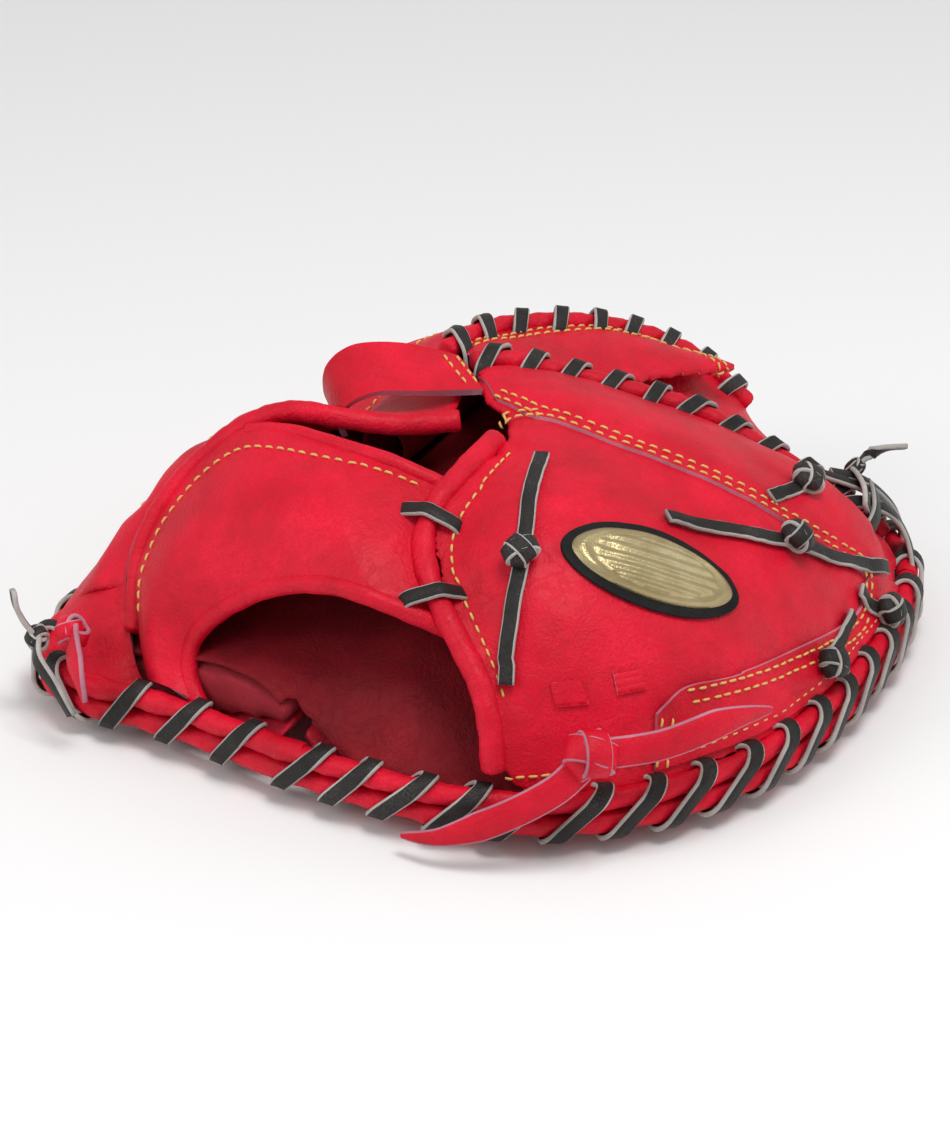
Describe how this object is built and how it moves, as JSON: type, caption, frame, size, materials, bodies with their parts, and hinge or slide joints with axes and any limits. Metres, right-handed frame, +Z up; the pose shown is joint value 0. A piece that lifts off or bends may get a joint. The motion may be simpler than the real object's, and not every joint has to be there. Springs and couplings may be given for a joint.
{
  "type": "baseball catcher mitt",
  "caption": "Red leather catcher mitt for the left hand, palm down, with laced rim, wrist strap, finger guard, web and closing break.",
  "frame": {"origin": "middle of the bounding box of the stitched mitt, on the surface the palm side rests on; loose lace ends are left out", "axes": "+X from the heel to the fingertips, -Y to the thumb side, +Z up out of the back of the hand"},
  "size_m": [0.3187, 0.2708, 0.1187],
  "materials": {
    "red_leather": "oiled full-grain, fine pebble, satin",
    "red_lining": "soft matt glove lining",
    "wool_felt": "pressed white wool felt",
    "black_rawhide": "black rawhide lace with pale suede edges",
    "emblem_felt": "black pressed felt",
    "emblem_gold": "moulded dull gold, plain ridged pattern"
  },
  "bodies": {
    "finger_side": {"back_panel_fingers": "red_leather", "edge_roll_fingers": "red_leather", "seam_roll_fingers": "red_leather", "palm_leather_fingers": "red_leather", "pad_fingers": "wool_felt", "lining_fingers": "red_lining", "stall_index": "red_lining", "stall_middle": "red_lining", "stall_ring": "red_lining", "stall_little": "red_lining", "rim_roll_lower_fingers": "red_leather", "rim_roll_upper_fingers": "red_leather", "rim_lace_fingers": "black_rawhide", "rim_roll_lower_tip": "red_leather", "rim_roll_upper_tip": "red_leather", "rim_lace_tip": "black_rawhide", "web_panel": "red_leather", "web_flap": "red_leather", "web_lace_fingers": "black_rawhide", "wrist_strap": "red_leather", "strap_binding_lower": "red_leather", "strap_binding_upper": "red_leather", "finger_guard": "red_leather", "little_finger_thong": "red_leather", "heel_lace_ends": "black_rawhide"},
    "thumb_side": {"back_panel_thumb": "red_leather", "edge_roll_thumb": "red_leather", "emblem_backing": "emblem_felt", "emblem_plate": "emblem_gold", "lining_thumb": "red_lining", "pad_thumb": "wool_felt", "pad_tie_lace": "black_rawhide", "palm_leather_thumb": "red_leather", "rim_band_thumb": "red_leather", "rim_lace_thumb": "black_rawhide", "rim_roll_lower_thumb": "red_leather", "rim_roll_upper_thumb": "red_leather", "seam_band_thumb": "red_leather", "seam_roll_thumb": "red_leather", "stall_thumb": "red_lining", "strap_lace": "black_rawhide", "thumb_thong": "red_leather", "tip_lace_ends": "black_rawhide", "web_lace_thumb": "black_rawhide", "web_tie_lace": "black_rawhide"}
  },
  "joints": [
    {"name": "mitt_close", "type": "hinge", "parent": "finger_side", "child": "thumb_side", "pos_m": [-0.14236, 0.00149, 0.0153], "axis": [0.9549, 0.0441, 0.2938], "range_deg": [-3, 15], "stiffness_Nm_per_rad": 15, "deforming": ["rim_roll_lower_tip", "rim_roll_upper_tip", "rim_lace_tip", "web_panel", "web_flap", "wrist_strap", "strap_binding_lower", "strap_binding_upper", "finger_guard"]}
  ]
}
